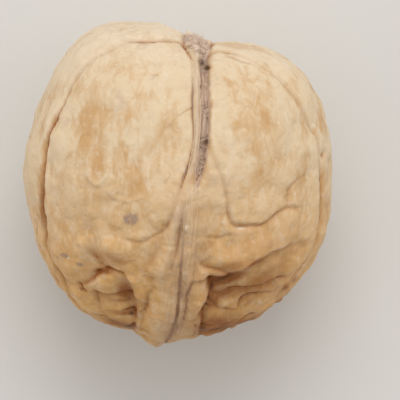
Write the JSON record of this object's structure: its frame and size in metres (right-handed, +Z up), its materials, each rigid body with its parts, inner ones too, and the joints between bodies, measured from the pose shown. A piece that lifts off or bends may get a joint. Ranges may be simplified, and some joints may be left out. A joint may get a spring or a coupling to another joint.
{
  "type": "walnut in shell",
  "caption": "Whole English walnut in its closed shell, lying on its side: two wrinkled halves joined by a raised seam, with a fibrous stem scar at one end and a blunt tip at the other.",
  "frame": {"origin": "under the middle of the nut, on the surface that it lies on", "axes": "+Z up, +Y towards the stem end, -Y towards the pointed tip, +X across the two shell halves"},
  "size_m": [0.0372, 0.039, 0.035],
  "materials": {
    "shell": "matt, dry, tan woody shell with darker creases"
  },
  "bodies": {
    "root": {"walnut": "shell"}
  },
  "joints": []
}
